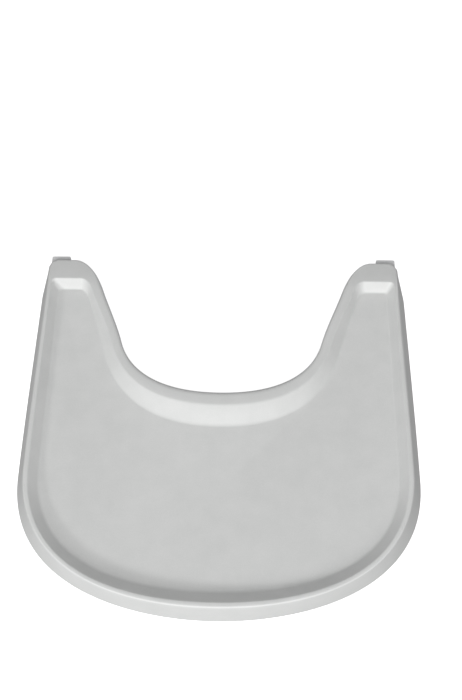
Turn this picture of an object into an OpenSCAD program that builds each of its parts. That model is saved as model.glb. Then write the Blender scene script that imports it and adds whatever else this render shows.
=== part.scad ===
// Clip-on feeding tray: one moulded U-shaped tray shell with a raised rim and a shallow basin, carried
// by two clip units hidden under its arms. Each clip unit is a channel bracket that drops over an
// armrest bar, a sprung latch lever whose hook catches under the bar, and the lever's pin, clip,
// spring, screws and rubber pads. X is across the tray, Y runs from the front rim to the arm ends,
// Z is up; the origin is under the middle of the whole outline, on the surface the rim rests on.

/* [Tray outline] */
// Width across the foot of the side skirts
tray_w = 440; // [370:1:530]
// Length from the front skirt to the tips of the release tabs
tray_l = 425; // [355:1:510]
// Height of the rim above the resting surface
tray_h = 38; // [38:0.2:48]
// Depth of the basin below the rim
basin_depth = 12; // [8:0.2:12.4]
// Moulded wall thickness
wall = 2.6; // [2:0.1:3.2]
// How far the side skirts flare outwards from rim to foot
side_flare = 12.5; // [9:0.5:16]
// How far the front skirt flares outwards from rim to foot
front_flare = 3.5; // [2:0.5:8]
// Width of the crown between basin and side skirt
rim_w = 5; // [4.4:0.2:6.4]
// Width of the crown between basin and belly cut-out
crown_w = 17; // [14:0.5:21]
// How far the ledges behind the basin fall towards the arm ends
ledge_fall = 4; // [2:0.2:4.8]

/* [Clip units] */
// Width of the armrest bar the channel drops over
bar_w = 28; // [23:0.2:34]
// Height of the armrest bar
bar_h = 14; // [11.6:0.2:14.4]
// Wall thickness of the channel bracket
bracket_t = 3; // [2.4:0.1:3.2]
// Thickness of the rubber pad on the channel roof
pad_t = 1.5; // [1:0.1:2]
// Diameter of the lever pivot pin
pin_d = 5; // [4:0.1:6]
// How far the hook reaches under the armrest bar
hook_reach = 4.5; // [3.6:0.1:5.4]
// Outside diameter of the latch spring
spring_d = 5; // [4:0.1:6]
// Width of the release tab
tab_w = 22; // [18:0.5:26]

/* [Hidden] */

$fn = 48;

half_w = tray_w / 2;
half_l = tray_l / 2;
// Reach of the release tabs past the line the clip units are measured from
tab_out = 9;
arm_end_y = half_l - tab_out;

// Heights the pieces share, worked down from the basin floor to the hook
floor_z = tray_h - basin_depth;
under_z = floor_z - wall;
roof_top_z = under_z - 0.2;
roof_z = roof_top_z - bracket_t + 0.2;
bar_top_z = roof_z - pad_t;
bar_bottom_z = bar_top_z - bar_h;
hook_top_z = bar_bottom_z - 0.5;
hook_t = 3.6;
channel_foot_z = bar_bottom_z + 0.1;
flange_t = 3;
flange_z = under_z - 11.4;
ear_t = 3;
upper_ear_z = roof_z - 3.4;
lower_ear_z = channel_foot_z;
lever_z = lower_ear_z + ear_t + 0.2;
lever_top_z = upper_ear_z - 0.2;
lever_mid_z = (lever_z + lever_top_z) / 2;
rear_hem_z = tray_h - 7;
cut_hem_z = 8;
tab_t = 3.5;
tab_top_z = rear_hem_z - 1;

// Clip unit frame: u is outwards from the outer face of the armrest bar, v is back from the arm end
bar_out_x = half_w - 34;
channel_back_v = -38;
channel_front_v = -140;
unit_wall_u = bracket_t;
eye_r = pin_d / 2 + 3;
pivot_u = unit_wall_u + 0.5 + eye_r;
pivot_v = -131;
lever_u = unit_wall_u + 1;
lever_t = 5;
spring_v = -88;
spring_wall_u = 15;
spring_pocket = 2;
seat_pocket = 1.2;
spring_turns = 6;
spring_wire = 0.6;
screw_d = 3;
boss_r = 3.75;
flange_reach = 9;
side_screw_u = -bar_w - bracket_t - 4.7;
screw_spots = [[-24, -150.5], [-1, -150.5], [side_screw_u, -130], [side_screw_u, -104]];

// ---- Outline curves of the tray shell ----

function clamp(x, a, b) = min(max(x, a), b);
function smooth(t) = let (c = clamp(t, 0, 1)) c * c * (3 - 2 * c);
function bez(p, t) =
  pow(1 - t, 3) * p[0] + 3 * pow(1 - t, 2) * t * p[1] + 3 * (1 - t) * t * t * p[2] + pow(t, 3) * p[3];

// The corner points are written for this outline; a change of overall size moves the arms whole
drawn_half_w = 220;
drawn_half_l = 212.5;
function place(p) = [
  p[0] + (half_w - drawn_half_w) * clamp(p[0] / 110, -1, 1),
  p[1] + (half_l - drawn_half_l) * clamp(p[1] / 40, -1, 1)];

side_y = -58;
// Direction of the cut-out edge along the arm, at its upper and its lower knee
upper_run = [-0.34, -0.94];
lower_run = [-0.27, -0.96];
seg_n = [18, 12, 6, 2, 8, 6, 12];
// How closely the points of each stretch crowd towards its end
seg_pace = [1, 1.7, 1, 1, 1, 1, 1];

// Half an outline, from the front middle round the side and the arm end to the cut-out middle.
// front, side, rear = [position, handle length]; arm = [corner x, corner radius, inner end x];
// knee1, knee2 = points on the cut-out edge; cut = [middle y, handle length, handle x]
function half_outline(front, side, rear_y, arm, knee1, knee2, cut) = let (
    a0 = [0, front[0]],
    a1 = [side[0], side_y],
    a2 = [arm[0], rear_y - arm[1]],
    a3 = [arm[0] - arm[1], rear_y],
    a4 = [arm[2], rear_y],
    a7 = [0, cut[0]],
    k = 0.5523 * arm[1],
    reach = norm(knee1 - a4),
    step = norm(knee2 - knee1) / 3,
    segs = [
      [a0, [front[1], front[0]], [side[0], side_y - side[1]], a1],
      [a1, [side[0], side_y + side[2]], [arm[0] + (side[0] - arm[0]) * 0.25, a2[1] - 60], a2],
      [a2, a2 + [0, k], a3 + [k, 0], a3],
      [a3, a3 * 2 / 3 + a4 / 3, a3 / 3 + a4 * 2 / 3, a4],
      [a4, a4 - [reach * 0.3, 0], knee1 - upper_run * reach * 0.33, knee1],
      [knee1, knee1 + upper_run * step, knee2 - lower_run * step, knee2],
      [knee2, knee2 + lower_run * cut[1], [cut[2], cut[0]], a7]])
  [for (s = [0:len(segs) - 1]) for (i = [0:seg_n[s] - 1])
    place(bez(segs[s], 1 - pow(1 - i / seg_n[s], seg_pace[s]))), place(a7)];

// Closed outline: the half and its mirror image, running anticlockwise seen from above
function closed(h) = [each h, for (i = [len(h) - 2:-1:1]) [-h[i][0], h[i][1]]];

skirt_x = drawn_half_w;
rim_x = skirt_x - side_flare;
edge_x = rim_x - rim_w;
front_rim_y = -drawn_half_l + front_flare;
cut_y = 33;

hem = closed(half_outline([-drawn_half_l, 83], [skirt_x, 125, 70], 206.4, [215.5, 18, 176],
  [138, 163], [112.5, 94.5], [cut_y - 0.5, 44, 58]));
rim = closed(half_outline([front_rim_y, 95], [rim_x, 120, 55], 205.6, [203.4, 10, 175],
  [138.5, 163], [113, 94.5], [cut_y, 44, 58]));
edge = closed(half_outline([front_rim_y + rim_w + 0.7, 94], [edge_x, 118, 55], 177,
  [199.6, 5, 165], [153, 166], [113 + crown_w * 0.68, 94.5], [cut_y - crown_w, 56, 70]));
foot = closed(half_outline([-189.5, 92], [edge_x - 9.2, 106, 45], 169.5, [192, 4, 167],
  [156, 158], [134.5, 90.5], [cut_y - crown_w - 20.5, 58, 82]));
floor_edge = closed(half_outline([-187.2, 91.5], [edge_x - 11.5, 105, 45], 167.8, [190.2, 3.5, 167.6],
  [157.2, 156.8], [136.2, 90.2], [cut_y - crown_w - 22, 58, 83]));

n_around = len(hem);
half_n = (n_around + 2) / 2;
first_cut_i = seg_n[0] + seg_n[1] + seg_n[2] + seg_n[3];
function half_index(i) = i < half_n ? i : n_around - i;
function along(list, i) = list[(i + n_around) % n_around];
// Outward direction of an outline at one of its points
function outward(list, i) = let (d = along(list, i + 1) - along(list, i - 1)) [d[1], -d[0]] / norm(d);

// The foot of the skirt is flat, lifts over the armrest bars at the arm ends, and stays up along the cut-out
function hem_height(i) = let (back = hem[i][1] - arm_end_y)
  half_index(i) < first_cut_i ? rear_hem_z * smooth((back + 31) / 14)
    : cut_hem_z + (rear_hem_z - cut_hem_z) * smooth((back + 45) / 27);

// Skirt foot, pulled in towards the rim where the hem is lifted
function hem_point(i) = let (z = hem_height(i), p = rim[i] + (hem[i] - rim[i]) * (tray_h - z) / tray_h)
  [p[0], p[1], z];

function lift(p, z) = [p[0], p[1], z];
// Height of the outer edge of the crown
function crown_height(i) = tray_h - ledge_fall * smooth((rim[i][1] - arm_end_y + 36) / 40);
// Reach of the rounding on the outer edge of the crown
function round_reach(i) = 8 - 5 * smooth((rim[i][1] - arm_end_y + 50) / 40);
// Mitred shift of a corner between two directions of travel, by the wall thickness, in the section plane
function wall_side(d) = [d[1], -d[0]] / norm(d);
function mitre(d1, d2) = let (a = wall_side(d1), b = wall_side(d2)) wall * (a + b) / (1 + a * b);
function shifted(p, out, s) = p + [out[0] * s[0], out[1] * s[0], s[1]];
function bend(a, b, c, t) = (1 - t) * (1 - t) * a + 2 * t * (1 - t) * b + t * t * c;

// One section through the wall, from the basin floor over the rim to the skirt foot and back underneath
function section(i) = let (
    g = lift(floor_edge[i], floor_z),
    f = lift(foot[i], floor_z),
    e = lift(edge[i], tray_h),
    r = lift(rim[i], crown_height(i)),
    h = hem_point(i),
    f2 = f + (e - f) * 0.15,
    e1 = e + (f - e) * 0.1,
    e2 = e + (r - e) * min(0.2, 1.5 / norm(r - e)),
    soft = min(0.45, round_reach(i) / norm(r - e)),
    t = r + (e - r) * soft,
    q = r + (h - r) * min(0.45, 0.9 * soft * norm(r - e) / norm(h - r)),
    nf = outward(foot, i),
    ne = outward(edge, i),
    nr = outward(rim, i),
    flat = [1, 0],
    crown = [max(0.5, [r[0] - e[0], r[1] - e[1]] * nr), r[2] - e[2]],
    slope = [max(0.5, [e[0] - f[0], e[1] - f[1]] * nf), e[2] - f[2]],
    skirt = [max(0, [h[0] - r[0], h[1] - r[1]] * nr), h[2] - r[2]],
    gi = g - [0, 0, wall],
    fi = shifted(f, nf, mitre(flat, slope)),
    ei = shifted(e, ne, mitre(slope, crown)),
    ri = shifted(r, nr, mitre(crown, skirt)),
    hi = shifted(h, nr, [-wall * norm(skirt) / -skirt[1], 0]),
    fi2 = fi + (ei - fi) * 0.4,
    ti = ri + (ei - ri) * 0.35,
    qi = ri + (hi - ri) * min(0.4, 0.3 * norm(ri - ei) / norm(hi - ri)))
  [g, bend(g, f, f2, 0.33), bend(g, f, f2, 0.67), f2,
   e1, bend(e1, e, e2, 0.5), e2, t, bend(t, r, q, 0.25), bend(t, r, q, 0.5), bend(t, r, q, 0.75), q,
   (q + h) / 2, h, hi, (qi + hi) / 2, qi, bend(ti, ri, qi, 0.5), ti, ei, fi2,
   bend(gi, fi, fi2, 0.66), bend(gi, fi, fi2, 0.33), gi];

module shell_skin() {
  sections = [for (i = [0:n_around - 1]) section(i)];
  n_rings = len(sections[0]);
  points = [for (j = [0:n_rings - 1]) for (i = [0:n_around - 1]) sections[i][j]];
  function at(j, i) = j * n_around + i % n_around;
  faces = [
    [for (i = [n_around - 1:-1:0]) at(0, i)],
    [for (i = [0:n_around - 1]) at(n_rings - 1, i)],
    for (j = [0:n_rings - 2]) for (i = [0:n_around - 1]) [at(j, i), at(j, i + 1), at(j + 1, i + 1)],
    for (j = [0:n_rings - 2]) for (i = [0:n_around - 1]) [at(j, i), at(j + 1, i + 1), at(j + 1, i)]];
  polyhedron(points, faces, convexity = 6);
}

// ---- Clip units: drawn for the right arm, mirrored for the left ----

module right_unit() {
  translate([bar_out_x, arm_end_y, 0]) children();
}

module left_unit() {
  mirror([1, 0, 0]) right_unit() children();
}

// Box from one corner to the opposite one
module block(a, b) {
  translate(a) cube(b - a);
}

module screw_bosses() {
  for (s = screw_spots) translate([s[0], s[1], flange_z + flange_t]) {
    difference() {
      cylinder(h = under_z + 1 - flange_z - flange_t, r = boss_r);
      translate([0, 0, -1]) cylinder(h = 8, d = screw_d + 0.1);
    }
  }
}

module tray_shell() {
  color([0.93, 0.93, 0.94]) union() {
    shell_skin();
    right_unit() screw_bosses();
    left_unit() screw_bosses();
  }
}

module screw_flanges() {
  // Tongue in front of the channel, with two screws
  block([-30, -157, flange_z], [7, channel_front_v - bracket_t + 1, flange_z + flange_t]);
  // Lugs on the inner side, one screw each
  for (s = [2, 3]) {
    block([-bar_w - bracket_t - flange_reach, screw_spots[s][1] - 7, flange_z],
      [-bar_w - bracket_t + 1, screw_spots[s][1] + 7, flange_z + flange_t]);
  }
}

module pivot_ears() {
  for (z = [lower_ear_z, upper_ear_z]) translate([0, 0, z]) {
    translate([pivot_u, pivot_v, 0]) cylinder(h = ear_t, r = eye_r);
    block([unit_wall_u - 1, pivot_v - eye_r, 0], [pivot_u, pivot_v + eye_r, ear_t]);
  }
}

module spring_seat() {
  block([0, spring_v - 8, roof_z], [spring_wall_u + 3, spring_v + 8, roof_top_z]);
  block([spring_wall_u, spring_v - 6, lever_mid_z - 5], [spring_wall_u + 3, spring_v + 6, roof_z + 1]);
}

module bracket_body() {
  inner_u = -bar_w - bracket_t;
  front_v = channel_front_v - bracket_t;
  difference() {
    union() {
      block([inner_u, front_v, roof_z], [unit_wall_u, channel_back_v, roof_top_z]);
      block([inner_u, front_v, channel_foot_z], [-bar_w, channel_back_v, roof_z + 1]);
      block([0, front_v, channel_foot_z], [unit_wall_u, channel_back_v, roof_z + 1]);
      block([inner_u, front_v, channel_foot_z], [unit_wall_u, channel_front_v, roof_z + 1]);
      screw_flanges();
      pivot_ears();
      spring_seat();
    }
    for (s = screw_spots) translate([s[0], s[1], flange_z - 1]) cylinder(h = flange_t + 2, d = screw_d + 0.3);
    translate([pivot_u, pivot_v, 0]) cylinder(h = roof_top_z, d = pin_d + 0.1);
    translate([spring_wall_u, spring_v, lever_mid_z]) rotate([0, 90, 0])
      translate([0, 0, -1]) cylinder(h = 1 + seat_pocket, d = spring_d + 0.5);
    stud_hole();
  }
}

bumper_stud_z = flange_z - 3.4;
bumper_stud_r = 2.5;

module stud_hole() {
  translate([-bar_w / 2, channel_front_v - bracket_t - 1, bumper_stud_z]) rotate([-90, 0, 0])
    cylinder(h = bracket_t + 2, r = bumper_stud_r + 0.05);
}

module hook() {
  hook_v = -54;
  hook_len = 14;
  outer_u = lever_u + lever_t;
  translate([0, hook_v + hook_len, 0]) rotate([90, 0, 0]) linear_extrude(hook_len)
    polygon([[-hook_reach, hook_top_z], [-hook_reach, hook_top_z - 1], [1, hook_top_z - hook_t],
      [outer_u, hook_top_z - hook_t], [outer_u, lever_z + 1], [lever_u, lever_z + 1],
      [lever_u, hook_top_z]]);
}

// Release tab: a neck behind the basin and a wide plate past the arm end, with a turned-down lip
module release_tab() {
  tab_in_u = pivot_u + 8 - tab_w;
  corner_r = 2;
  translate([0, 0, tab_top_z - tab_t]) linear_extrude(tab_t) {
    translate([lever_u - 7, -21]) square([11, 13]);
    translate([tab_in_u + corner_r, -9.5 + corner_r]) offset(r = corner_r)
      square([tab_w - 2 * corner_r, tab_out + 9.5 - 2 * corner_r]);
  }
  block([tab_in_u + 2, tab_out - 2.2, tab_top_z - tab_t - 2.5], [tab_in_u + tab_w - 2, tab_out - 0.4, tab_top_z - 1]);
}

module lever_body() {
  far_v = -14;
  difference() {
    union() {
      translate([pivot_u, pivot_v, lever_z]) cylinder(h = lever_top_z - lever_z, r = eye_r);
      translate([0, 0, lever_z]) linear_extrude(lever_top_z - lever_z)
        polygon([[lever_u, pivot_v], [pivot_u + eye_r, pivot_v], [lever_u + lever_t, pivot_v + 22],
          [lever_u + lever_t, far_v], [lever_u, far_v]]);
      hook();
      block([lever_u, far_v - 7, lever_z], [lever_u + 4, far_v, tab_top_z]);
      release_tab();
      // Stop nib that rests against the channel wall
      block([unit_wall_u + 0.1, -68, lever_mid_z - 2], [lever_u + 1, -62, lever_mid_z + 2]);
    }
    translate([pivot_u, pivot_v, 0]) cylinder(h = roof_top_z, d = pin_d + 0.1);
    translate([lever_u + lever_t - spring_pocket, spring_v, lever_mid_z]) rotate([0, 90, 0])
      cylinder(h = spring_pocket + 1, d = spring_d + 0.5);
  }
}

pin_head_t = 2.2;
groove_z = upper_ear_z + ear_t + 0.3;
groove_t = 0.8;
groove_r = pin_d / 2 - 0.5;

module pivot_pin() {
  translate([pivot_u, pivot_v, 0]) rotate_extrude() polygon([
    [0, lower_ear_z - 0.1 - pin_head_t], [pin_d / 2 + 1, lower_ear_z - 0.1 - pin_head_t],
    [pin_d / 2 + 1.5, lower_ear_z - 0.6 - pin_head_t / 2], [pin_d / 2 + 1.5, lower_ear_z - 0.1],
    [pin_d / 2, lower_ear_z - 0.1], [pin_d / 2, groove_z], [groove_r, groove_z],
    [groove_r, groove_z + groove_t], [pin_d / 2, groove_z + groove_t],
    [pin_d / 2, under_z - 1.7], [pin_d / 2 - 0.5, under_z - 1.2], [0, under_z - 1.2]]);
}

module pin_clip() {
  translate([pivot_u, pivot_v, groove_z + 0.05]) linear_extrude(groove_t - 0.1) difference() {
    circle(r = pin_d / 2 + 1.8);
    circle(r = groove_r + 0.05);
    translate([0, -groove_r * 0.8]) square([pin_d, groove_r * 1.6]);
  }
}

// Coil along u: rings of a round wire swept round the spring axis
module latch_spring() {
  start_u = lever_u + lever_t - spring_pocket + 0.1;
  end_u = spring_wall_u + seat_pocket - 0.1;
  length = end_u - start_u - spring_wire;
  coil_r = (spring_d - spring_wire) / 2;
  per_turn = 20;
  wire_n = 8;
  steps = spring_turns * per_turn;
  points = [for (i = [0:steps]) for (j = [0:wire_n - 1]) let (
      turn = i / per_turn * 360,
      side = j / wire_n * 360,
      r = coil_r + spring_wire / 2 * cos(side))
    [length * i / steps + spring_wire / 2 * sin(side), r * cos(turn), r * sin(turn)]];
  faces = [
    [for (j = [0:wire_n - 1]) j],
    [for (j = [wire_n - 1:-1:0]) steps * wire_n + j],
    for (i = [0:steps - 1]) for (j = [0:wire_n - 1]) let (
        a = i * wire_n + j, b = i * wire_n + (j + 1) % wire_n)
      each [[b, a, a + wire_n], [b, a + wire_n, b + wire_n]]];
  translate([start_u + spring_wire / 2, spring_v, lever_mid_z]) polyhedron(points, faces, convexity = 8);
}

module bracket_screw() {
  head_r = 3.1;
  head_t = 2;
  shank_top = 6.6;
  difference() {
    rotate_extrude() polygon([[0, -0.1 - head_t], [head_r - 0.6, -0.1 - head_t], [head_r, 0.5 - head_t],
      [head_r, -0.1], [screw_d / 2, -0.1], [screw_d / 2, flange_t + shank_top - 1],
      [0.3, flange_t + shank_top], [0, flange_t + shank_top]]);
    for (a = [0, 90]) rotate([0, 0, a]) translate([-1.8, -0.4, -1 - head_t]) cube([3.6, 0.8, 2]);
  }
}

module bracket_screws() {
  for (s = screw_spots) translate([s[0], s[1], flange_z]) bracket_screw();
}

module roof_pad() {
  difference() {
    block([2 - bar_w, channel_front_v + 4, roof_z - pad_t], [-2, channel_back_v - 6, roof_z]);
    // Grip grooves across the pad
    for (v = [channel_front_v + 12:8:channel_back_v - 12]) {
      block([1 - bar_w, v, roof_z - pad_t - 1], [-1, v + 2, roof_z - pad_t + 0.5]);
    }
  }
}

module stop_bumper() {
  front_v = channel_front_v - bracket_t;
  block([4 - bar_w, channel_front_v, channel_foot_z + 1], [-4, channel_front_v + 3.6, bar_top_z - 2]);
  translate([-bar_w / 2, channel_front_v + 1, bumper_stud_z]) rotate([90, 0, 0])
    rotate_extrude() polygon([[0, 0], [bumper_stud_r, 0], [bumper_stud_r, 1.1 + bracket_t],
      [bumper_stud_r + 0.7, 1.2 + bracket_t], [bumper_stud_r - 0.6, 3.2 + bracket_t], [0, 3.2 + bracket_t]]);
}

module coloured_bracket() {
  color([0.82, 0.83, 0.85]) bracket_body();
}

module coloured_lever() {
  color([0.9, 0.9, 0.92]) lever_body();
}

module coloured_pin() {
  color([0.62, 0.64, 0.67]) pivot_pin();
}

module coloured_clip() {
  color([0.45, 0.46, 0.48]) pin_clip();
}

module coloured_spring() {
  color([0.55, 0.57, 0.6]) latch_spring();
}

module coloured_screws() {
  color([0.68, 0.69, 0.7]) bracket_screws();
}

module coloured_pad() {
  color([0.35, 0.36, 0.38]) roof_pad();
}

module coloured_bumper() {
  color([0.3, 0.31, 0.33]) stop_bumper();
}

tray_shell();
left_unit() coloured_bracket();  // bracket_left
right_unit() coloured_bracket();  // bracket_right
left_unit() coloured_lever();  // latch_lever_left
right_unit() coloured_lever();  // latch_lever_right
left_unit() coloured_pin();  // pivot_pin_left
right_unit() coloured_pin();  // pivot_pin_right
left_unit() coloured_clip();  // pin_clip_left
right_unit() coloured_clip();  // pin_clip_right
left_unit() coloured_spring();  // latch_spring_left
right_unit() coloured_spring();  // latch_spring_right
left_unit() coloured_screws();  // bracket_screws_left
right_unit() coloured_screws();  // bracket_screws_right
left_unit() coloured_pad();  // roof_pad_left
right_unit() coloured_pad();  // roof_pad_right
left_unit() coloured_bumper();  // stop_bumper_left
right_unit() coloured_bumper();  // stop_bumper_right
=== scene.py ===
"""Clip-on feeding tray: smooth moulded shell, sprung plastic clip units, pale studio."""
import math

import bpy
import bmesh
import numpy as np
from mathutils import Matrix, Vector


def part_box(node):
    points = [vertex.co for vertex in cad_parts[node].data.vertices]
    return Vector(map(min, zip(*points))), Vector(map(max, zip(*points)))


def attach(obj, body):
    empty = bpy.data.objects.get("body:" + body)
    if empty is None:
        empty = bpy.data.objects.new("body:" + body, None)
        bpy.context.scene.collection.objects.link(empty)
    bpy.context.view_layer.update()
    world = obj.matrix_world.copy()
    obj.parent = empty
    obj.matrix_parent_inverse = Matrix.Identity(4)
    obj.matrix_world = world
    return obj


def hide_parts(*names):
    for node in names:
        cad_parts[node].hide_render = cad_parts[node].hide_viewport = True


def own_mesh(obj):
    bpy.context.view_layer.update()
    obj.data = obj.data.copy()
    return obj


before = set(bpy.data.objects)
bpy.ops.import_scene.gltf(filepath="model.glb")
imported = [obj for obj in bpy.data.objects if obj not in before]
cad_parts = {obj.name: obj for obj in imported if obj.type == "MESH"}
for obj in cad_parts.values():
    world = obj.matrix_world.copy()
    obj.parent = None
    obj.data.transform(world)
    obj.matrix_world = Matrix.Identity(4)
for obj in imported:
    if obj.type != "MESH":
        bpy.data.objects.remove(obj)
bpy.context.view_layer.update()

MM = 0.001

# ---- Sizes shared with the CAD source, in millimetres ----

HALF_W = 220.0
HALF_L = 212.5
TRAY_H = 38.0
FLOOR_Z = 26.0
WALL = 2.6
SIDE_FLARE = 12.5
FRONT_FLARE = 3.5
RIM_W = 5.0
CROWN_W = 17.0
CUT_Y = 33.0
TAB_OUT = 9.0
ARM_END = HALF_L - TAB_OUT
REAR_HEM_Z = TRAY_H - 7.0
LEDGE_FALL = 4.0
CUT_HEM_Z = 8.0
SIDE_Y = -58.0
UPPER_RUN = np.array([-0.34, -0.94])
LOWER_RUN = np.array([-0.27, -0.96])
FINE = 4
SEG_N = [n * FINE for n in (18, 12, 6, 2, 8, 6, 12)]
SEG_PACE = (1, 1.7, 1, 1, 1, 1, 1)
# Handle length of a cubic that draws a quarter circle of radius 1
QUARTER = 0.5523


# ---- Outlines of the shell ----

def smooth(t):
    t = np.clip(t, 0.0, 1.0)
    return t * t * (3 - 2 * t)


def bez(p, t):
    t = np.asarray(t, float)[:, None]
    a, b, c, d = (np.asarray(q, float) for q in p)
    return (1 - t) ** 3 * a + 3 * (1 - t) ** 2 * t * b + 3 * (1 - t) * t * t * c + t ** 3 * d


def half_outline(front, side, rear_y, arm, knee1, knee2, cut):
    """From the front middle round the side and the arm end to the middle of the cut-out."""
    a0 = np.array([0.0, front[0]])
    a1 = np.array([side[0], SIDE_Y])
    a2 = np.array([arm[0], rear_y - arm[1]])
    a3 = np.array([arm[0] - arm[1], rear_y])
    a4 = np.array([arm[2], rear_y])
    a7 = np.array([0.0, cut[0]])
    k1, k2 = np.array(knee1, float), np.array(knee2, float)
    k = QUARTER * arm[1]
    reach = np.linalg.norm(k1 - a4)
    step = np.linalg.norm(k2 - k1) / 3
    segs = [
        [a0, [front[1], front[0]], [side[0], SIDE_Y - side[1]], a1],
        [a1, [side[0], SIDE_Y + side[2]], [arm[0] + (side[0] - arm[0]) * 0.25, a2[1] - 60], a2],
        [a2, a2 + [0, k], a3 + [k, 0], a3],
        [a3, a3 * 2 / 3 + a4 / 3, a3 / 3 + a4 * 2 / 3, a4],
        [a4, a4 - [reach * 0.3, 0], k1 - UPPER_RUN * reach * 0.33, k1],
        [k1, k1 + UPPER_RUN * step, k2 - LOWER_RUN * step, k2],
        [k2, k2 + LOWER_RUN * cut[1], [cut[2], cut[0]], a7]]
    rows = [bez(s, 1 - (1 - np.arange(n) / n) ** pace) for s, n, pace in zip(segs, SEG_N, SEG_PACE)]
    return np.vstack(rows + [a7[None]])


def closed(half):
    mirror = half[-2:0:-1] * [-1, 1]
    return np.vstack([half, mirror])


RIM_X = HALF_W - SIDE_FLARE
EDGE_X = RIM_X - RIM_W
FRONT_RIM = -HALF_L + FRONT_FLARE

hem = closed(half_outline((-HALF_L, 83), (HALF_W, 125, 70), 206.4, (215.5, 18, 176),
                          (138, 163), (112.5, 94.5), (CUT_Y - 0.5, 44, 58)))
rim = closed(half_outline((FRONT_RIM, 95), (RIM_X, 120, 55), 205.6, (203.4, 10, 175),
                          (138.5, 163), (113, 94.5), (CUT_Y, 44, 58)))
edge = closed(half_outline((FRONT_RIM + RIM_W + 0.7, 94), (EDGE_X, 118, 55), 177, (199.6, 5, 165),
                           (153, 166), (113 + CROWN_W * 0.68, 94.5), (CUT_Y - CROWN_W, 56, 70)))
foot = closed(half_outline((-189.5, 92), (EDGE_X - 9.2, 106, 45), 169.5, (192, 4, 167),
                           (156, 158), (134.5, 90.5), (CUT_Y - CROWN_W - 20.5, 58, 82)))
floor_edge = closed(half_outline((-187.2, 91.5), (EDGE_X - 11.5, 105, 45), 167.8,
                                 (190.2, 3.5, 167.6), (157.2, 156.8), (136.2, 90.2),
                                 (CUT_Y - CROWN_W - 22, 58, 83)))

N = len(hem)
HALF_N = (N + 2) // 2
FIRST_CUT = sum(SEG_N[:4])


def outward(line):
    d = np.roll(line, -1, 0) - np.roll(line, 1, 0)
    n = np.stack([d[:, 1], -d[:, 0]], 1)
    return n / np.linalg.norm(n, axis=1)[:, None]


def hem_heights():
    i = np.arange(N)
    h = np.where(i < HALF_N, i, N - i)
    back = hem[:, 1] - ARM_END
    outer = REAR_HEM_Z * smooth((back + 31) / 14)
    inner = CUT_HEM_Z + (REAR_HEM_Z - CUT_HEM_Z) * smooth((back + 45) / 27)
    return np.where(h < FIRST_CUT, outer, inner)


def lift(p, z):
    return np.column_stack([p, np.broadcast_to(z, len(p))])


def wall_side(d):
    n = np.stack([d[:, 1], -d[:, 0]], 1)
    return n / np.linalg.norm(n, axis=1)[:, None]


def mitre(d1, d2):
    a, b = wall_side(d1), wall_side(d2)
    return WALL * (a + b) / (1 + (a * b).sum(1))[:, None]


def shifted(p, out, s):
    q = p.copy()
    q[:, :2] += out * s[:, :1]
    q[:, 2] += s[:, 1]
    return q


def bend(a, b, c, t):
    return (1 - t) ** 2 * a + 2 * t * (1 - t) * b + t * t * c


def along(a, b, share):
    return a + (b - a) * np.asarray(share)[..., None]


def length(v):
    return np.linalg.norm(v, axis=1)


def shell_rings():
    """Rings of points round the wall: basin floor, rim, skirt, and back along the underside."""
    hz = hem_heights()
    back = rim[:, 1] - ARM_END
    rz = TRAY_H - LEDGE_FALL * smooth((back + 36) / 40)
    h2 = rim + (hem - rim) * ((TRAY_H - hz) / TRAY_H)[:, None]
    g, f = lift(floor_edge, FLOOR_Z), lift(foot, FLOOR_Z)
    e, r, h = lift(edge, TRAY_H), lift(rim, rz), lift(h2, hz)
    nf, ne, nr = outward(foot), outward(edge), outward(rim)
    er, rh = length(r - e), length(h - r)
    f2 = along(f, e, 0.15)
    e1 = along(e, f, 0.1)
    e2 = along(e, r, np.minimum(0.2, 1.5 / er))
    round_reach = 8 - 5 * smooth((back + 50) / 40)
    soft = np.minimum(0.45, round_reach / er)
    t = along(r, e, soft)
    q = along(r, h, np.minimum(0.45, 0.9 * soft * er / rh))
    flat = np.tile([1.0, 0.0], (N, 1))
    crown = np.stack([np.maximum(0.5, ((r - e)[:, :2] * nr).sum(1)), (r - e)[:, 2]], 1)
    slope = np.stack([np.maximum(0.5, ((e - f)[:, :2] * nf).sum(1)), (e - f)[:, 2]], 1)
    skirt = np.stack([np.maximum(0.0, ((h - r)[:, :2] * nr).sum(1)), (h - r)[:, 2]], 1)
    gi = g - [0, 0, WALL]
    fi = shifted(f, nf, mitre(flat, slope))
    ei = shifted(e, ne, mitre(slope, crown))
    ri = shifted(r, nr, mitre(crown, skirt))
    foot_shift = np.stack([WALL * length(skirt) / skirt[:, 1], np.zeros(N)], 1)
    hi = shifted(h, nr, foot_shift)
    fi2 = along(fi, ei, 0.4)
    ti = along(ri, ei, 0.35)
    qi = along(ri, hi, np.minimum(0.4, 0.3 * length(ri - ei) / length(hi - ri)))
    rings = [g]
    rings += [bend(g, f, f2, k / 6) for k in range(1, 7)]
    rings += [along(f2, e1, 0.5), e1]
    rings += [bend(e1, e, e2, k / 4) for k in range(1, 5)]
    rings += [along(e2, t, 0.5), t]
    rings += [bend(t, r, q, k / 8) for k in range(1, 9)]
    rings += [along(q, h, k / 4) for k in range(1, 5)]
    rings += [hi] + [along(hi, qi, k / 3) for k in (1, 2, 3)]
    rings += [bend(qi, ri, ti, k / 4) for k in range(1, 5)]
    rings += [along(ti, ei, 0.5), ei, along(ei, fi2, 0.5), fi2]
    rings += [bend(fi2, fi, gi, k / 5) for k in range(1, 6)]
    return rings


def new_object(name, mesh):
    ob = bpy.data.objects.new(name, mesh)
    bpy.context.scene.collection.objects.link(ob)
    return ob


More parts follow.
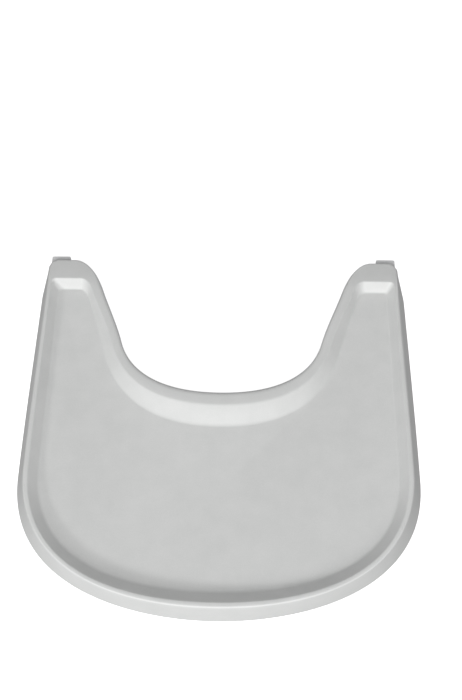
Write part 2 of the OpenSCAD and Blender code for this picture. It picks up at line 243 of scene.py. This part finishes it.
def shell_mesh():
    rings = shell_rings()
    verts = np.vstack(rings) * MM
    last = len(rings) - 1
    faces = [[i for i in range(N)], [last * N + i for i in range(N - 1, -1, -1)]]
    for j in range(last):
        for i in range(N):
            k = (i + 1) % N
            faces.append([j * N + k, j * N + i, (j + 1) * N + i, (j + 1) * N + k])
    mesh = bpy.data.meshes.new("shell")
    mesh.from_pydata(verts.tolist(), [], faces)
    mesh.update()
    return mesh


# ---- Materials ----

def new_material(name):
    m = bpy.data.materials.new(name)
    m.use_nodes = True
    nt = m.node_tree
    return m, nt, nt.nodes["Principled BSDF"]


def noise(nt, coords, scale, detail=3.0, rough=0.5):
    n = nt.nodes.new("ShaderNodeTexNoise")
    n.inputs["Scale"].default_value = scale
    n.inputs["Detail"].default_value = detail
    n.inputs["Roughness"].default_value = rough
    nt.links.new(coords, n.inputs["Vector"])
    return n.outputs["Fac"]


def ramp(nt, fac, stops):
    r = nt.nodes.new("ShaderNodeValToRGB")
    r.color_ramp.elements[0].position = stops[0][0]
    r.color_ramp.elements[0].color = (*stops[0][1], 1)
    r.color_ramp.elements[1].position = stops[-1][0]
    r.color_ramp.elements[1].color = (*stops[-1][1], 1)
    nt.links.new(fac, r.inputs["Fac"])
    return r.outputs["Color"]


def span(nt, fac, low, high):
    r = nt.nodes.new("ShaderNodeMapRange")
    r.inputs["To Min"].default_value = low
    r.inputs["To Max"].default_value = high
    nt.links.new(fac, r.inputs["Value"])
    return r.outputs["Result"]


def mixed(nt, a, b, share):
    """Weighted mean of two values, with the given share of the second."""
    m = nt.nodes.new("ShaderNodeMix")
    m.inputs["Factor"].default_value = share
    nt.links.new(a, m.inputs["A"])
    nt.links.new(b, m.inputs["B"])
    return m.outputs["Result"]


def bump(nt, height, strength, distance, below=None):
    b = nt.nodes.new("ShaderNodeBump")
    b.inputs["Strength"].default_value = strength
    b.inputs["Distance"].default_value = distance
    nt.links.new(height, b.inputs["Height"])
    if below is not None:
        nt.links.new(below, b.inputs["Normal"])
    return b.outputs["Normal"]


def object_coords(nt):
    return nt.nodes.new("ShaderNodeTexCoord").outputs["Object"]


def moulded_plastic(name, low, high, rough, grain, wave=0.0):
    """Moulded plastic: faint mottling, fine grain and a slow wave in the surface."""
    m, nt, p = new_material(name)
    co = object_coords(nt)
    mottle = mixed(nt, noise(nt, co, 38, 4, 0.55), noise(nt, co, 1100, 2), 0.45)
    tone = ramp(nt, mottle, [(0.36, low), (0.64, high)])
    nt.links.new(tone, p.inputs["Base Color"])
    nt.links.new(span(nt, noise(nt, co, 120, 2), rough[0], rough[1]), p.inputs["Roughness"])
    normal = bump(nt, noise(nt, co, 1500, 2), grain, 0.00008)
    if wave:
        normal = bump(nt, noise(nt, co, 14, 1), wave, 0.002, normal)
    nt.links.new(normal, p.inputs["Normal"])
    return m


def drawn_metal(name, low, high, rough, stretch):
    """Drawn or turned metal with fine lines across the stretch direction."""
    m, nt, p = new_material(name)
    mp = nt.nodes.new("ShaderNodeMapping")
    mp.inputs["Scale"].default_value = stretch
    nt.links.new(object_coords(nt), mp.inputs["Vector"])
    lines = noise(nt, mp.outputs["Vector"], 900, 3)
    nt.links.new(ramp(nt, lines, [(0.3, low), (0.7, high)]), p.inputs["Base Color"])
    nt.links.new(span(nt, lines, rough[0], rough[1]), p.inputs["Roughness"])
    nt.links.new(bump(nt, lines, 0.15, 0.00005), p.inputs["Normal"])
    p.inputs["Metallic"].default_value = 1.0
    return m


def soft_rubber(name):
    m, nt, p = new_material(name)
    co = object_coords(nt)
    low, high = (0.055, 0.058, 0.062), (0.085, 0.088, 0.093)
    tone = ramp(nt, noise(nt, co, 260, 4), [(0.3, low), (0.7, high)])
    nt.links.new(tone, p.inputs["Base Color"])
    nt.links.new(span(nt, noise(nt, co, 700, 2), 0.65, 0.85), p.inputs["Roughness"])
    nt.links.new(bump(nt, noise(nt, co, 2200, 3), 0.35, 0.0001), p.inputs["Normal"])
    return m


TRAY = moulded_plastic("tray_moulded", (0.712, 0.721, 0.713), (0.762, 0.768, 0.761),
                       (0.36, 0.46), 0.2, 0.05)
LEVER = moulded_plastic("lever_moulded", (0.74, 0.745, 0.75), (0.78, 0.785, 0.79),
                        (0.34, 0.44), 0.15)
BRACKET = moulded_plastic("bracket_moulded", (0.55, 0.565, 0.585), (0.61, 0.62, 0.64),
                          (0.5, 0.62), 0.3)
PIN = drawn_metal("turned_steel", (0.5, 0.51, 0.53), (0.64, 0.65, 0.67), (0.22, 0.38), (1, 1, 12))
SPRING = drawn_metal("spring_wire", (0.33, 0.34, 0.36), (0.46, 0.47, 0.49), (0.28, 0.42), (6, 1, 1))
SCREW = drawn_metal("plated_steel", (0.52, 0.54, 0.57), (0.68, 0.69, 0.71), (0.25, 0.4), (1, 1, 8))
PAD = soft_rubber("pad_soft")


# ---- Tray shell ----

# Screw axes of one clip unit, on the right arm; the left arm mirrors them
SCREW_SPOTS = ((162, 53), (185, 53), (150.3, 73.5), (150.3, 99.5))
BOSS_R = 3.75 * MM
BORE_R = 1.55 * MM
UNDER_Z = 23.4
FLANGE_TOP = UNDER_Z - 11.4 + 3
BORE_DEPTH = 7
BOSS_FOOT = FLANGE_TOP * MM
BOSS_TOP = (UNDER_Z + 1) * MM
BORE_TOP = BOSS_FOOT + BORE_DEPTH * MM
BOSS_SIDES = 48
BOSS_EDGE = 0.3 * MM


def tube_boss(bm, x, y):
    """A closed boss with a blind bore, as one ring-by-ring surface."""
    n = BOSS_SIDES
    soft = BOSS_EDGE
    prof = [(0, BORE_TOP), (BORE_R, BORE_TOP), (BORE_R, BOSS_FOOT + soft),
            (BORE_R + soft, BOSS_FOOT), (BOSS_R - soft, BOSS_FOOT),
            (BOSS_R, BOSS_FOOT + soft), (BOSS_R, BOSS_TOP), (0, BOSS_TOP)]
    rows = []
    for rad, z in prof:
        if rad == 0:
            rows.append([bm.verts.new((x, y, z))])
        else:
            turns = [2 * math.pi * i / n for i in range(n)]
            rows.append([bm.verts.new((x + rad * math.cos(a), y + rad * math.sin(a), z))
                         for a in turns])
    for a, b in zip(rows, rows[1:]):
        for i in range(n):
            k = (i + 1) % n
            ring = [a[i % len(a)], a[k % len(a)], b[k % len(b)], b[i % len(b)]]
            bm.faces.new(list(dict.fromkeys(ring)))
    bmesh.ops.recalc_face_normals(bm, faces=bm.faces)


def build_shell():
    shell = new_object("moulded_shell", shell_mesh())
    bm = bmesh.new()
    for x, y in SCREW_SPOTS:
        tube_boss(bm, x * MM, y * MM)
        tube_boss(bm, -x * MM, y * MM)
    mesh = bpy.data.meshes.new("bosses")
    bm.to_mesh(mesh)
    bm.free()
    bosses = new_object("boss_tool", mesh)
    mod = shell.modifiers.new("bosses", "BOOLEAN")
    mod.operation = "UNION"
    mod.solver = "EXACT"
    mod.object = bosses
    bpy.context.view_layer.update()
    deps = bpy.context.evaluated_depsgraph_get()
    done = bpy.data.meshes.new_from_object(shell.evaluated_get(deps))
    shell.modifiers.clear()
    shell.data = done
    bpy.data.objects.remove(bosses)
    done.materials.clear()
    done.materials.append(TRAY)
    done.shade_smooth()
    done.set_sharp_from_angle(angle=math.radians(40))
    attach(shell, "tray")
    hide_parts("tray_shell")


build_shell()


# ---- Clip units ----

WIRE_R = 0.3 * MM
SPRING_TURNS = 8
STEPS_PER_TURN = 36
WIRE_SIDES = 12


def dress(node, material, width=0.0):
    """Give a CAD piece its material and, where a width is given, softened edges."""
    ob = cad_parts[node]
    ob.data.materials.clear()
    ob.data.materials.append(material)
    if width:
        b = ob.modifiers.new("edges", "BEVEL")
        b.width = width * MM
        b.segments = 2
        b.limit_method = "ANGLE"
        b.angle_limit = math.radians(35)
        b.harden_normals = False


def coil_spring(side):
    """Round wire with closed end turns, between the lever's pocket and the seat."""
    low, high = (Vector(c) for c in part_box("latch_spring_" + side))
    wire = WIRE_R
    y = (low.y + high.y) / 2
    z = (low.z + high.z) / 2
    coil_r = (high.z - low.z) / 2 - wire
    turns, per, round_n = SPRING_TURNS, STEPS_PER_TURN, WIRE_SIDES
    total = turns * per
    run = high.x - low.x - 2 * wire
    pitch_end = 2.1 * wire
    rows = []
    bm = bmesh.new()
    for i in range(total + 1):
        t = i / per
        if t < 1:
            x = pitch_end * t
        elif t > turns - 1:
            x = run - pitch_end * (turns - t)
        else:
            x = pitch_end + (run - 2 * pitch_end) * (t - 1) / (turns - 2)
        a = 2 * math.pi * t
        ring = []
        for j in range(round_n):
            s = 2 * math.pi * j / round_n
            r = coil_r + wire * math.cos(s)
            ring.append(bm.verts.new((low.x + wire + x + wire * math.sin(s),
                                      y + r * math.cos(a), z + r * math.sin(a))))
        rows.append(ring)
    for a, b in zip(rows, rows[1:]):
        for j in range(round_n):
            k = (j + 1) % round_n
            bm.faces.new((a[j], a[k], b[k], b[j]))
    bm.faces.new(rows[0][::-1])
    bm.faces.new(rows[-1])
    bmesh.ops.recalc_face_normals(bm, faces=bm.faces)
    mesh = bpy.data.meshes.new("coil")
    bm.to_mesh(mesh)
    bm.free()
    mesh.materials.append(SPRING)
    mesh.shade_smooth()
    mesh.set_sharp_from_angle(angle=math.radians(50))
    ob = new_object("coil_" + side, mesh)
    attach(ob, "tray")
    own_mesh(ob)
    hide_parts("latch_spring_" + side)


for side in ("left", "right"):
    dress("bracket_" + side, BRACKET, 0.25)
    dress("latch_lever_" + side, LEVER, 0.4)
    dress("pivot_pin_" + side, PIN)
    dress("pin_clip_" + side, SPRING)
    dress("bracket_screws_" + side, SCREW)
    dress("roof_pad_" + side, PAD, 0.15)
    dress("stop_bumper_" + side, PAD, 0.3)
    coil_spring(side)


# ---- Floor, light and camera ----

FLOOR_HALF = 6.0
FLOOR_DROP = 0.0005


def stage_floor():
    m, nt, p = new_material("floor_pale")
    p.inputs["Base Color"].default_value = (0.9, 0.9, 0.9, 1)
    p.inputs["Roughness"].default_value = 0.9
    p.inputs["Specular IOR Level"].default_value = 0.0
    p.inputs["Emission Color"].default_value = (1, 1, 1, 1)
    p.inputs["Emission Strength"].default_value = 0.75
    mesh = bpy.data.meshes.new("floor")
    s = FLOOR_HALF
    mesh.from_pydata([(-s, -s, 0), (s, -s, 0), (s, s, 0), (-s, s, 0)], [], [(0, 1, 2, 3)])
    mesh.materials.append(m)
    ob = new_object("studio_floor", mesh)
    ob.location.z = -FLOOR_DROP
    ob.visible_diffuse = False
    ob.visible_glossy = False


def area_light(name, place, size, power):
    """A round white lamp aimed at the middle of the tray's foot."""
    data = bpy.data.lights.new(name, "AREA")
    data.shape = "DISK"
    data.size = size
    data.energy = power
    ob = bpy.data.objects.new(name, data)
    ob.location = place
    ob.rotation_euler = (-Vector(place)).to_track_quat("-Z", "Y").to_euler()
    bpy.context.scene.collection.objects.link(ob)


def studio():
    world = bpy.data.worlds.new("studio")
    bpy.context.scene.world = world
    world.use_nodes = True
    bg = world.node_tree.nodes["Background"]
    bg.inputs["Color"].default_value = (1, 1, 1, 1)
    bg.inputs["Strength"].default_value = 0.30
    area_light("front_soft", (0.0, -2.46, 1.72), 2.0, 54)
    area_light("key", (-1.63, -2.25, 1.14), 0.35, 21)
    area_light("right_fill", (2.25, -1.3, 1.5), 2.0, 4.5)
    area_light("back_fill", (0.0, 2.46, 1.72), 2.0, 8)
    bpy.context.scene.view_settings.view_transform = "Standard"
    bpy.context.scene.view_settings.look = "None"


def camera():
    data = bpy.data.cameras.new("camera")
    data.sensor_width = 36
    data.lens = 56.36
    data.clip_start = 0.01
    data.clip_end = 50
    ob = bpy.data.objects.new("camera", data)
    look = Vector((-0.008757, 0.480065, -0.877189))
    right = Vector((0.999882, 0.015283, -0.001617))
    up = right.cross(look)
    turn = Matrix((right, up, -look)).transposed().to_4x4()
    ob.matrix_world = Matrix.Translation((0.021966, -0.50741, 1.118946)) @ turn
    bpy.context.scene.collection.objects.link(ob)
    bpy.context.scene.camera = ob


stage_floor()
studio()
camera()
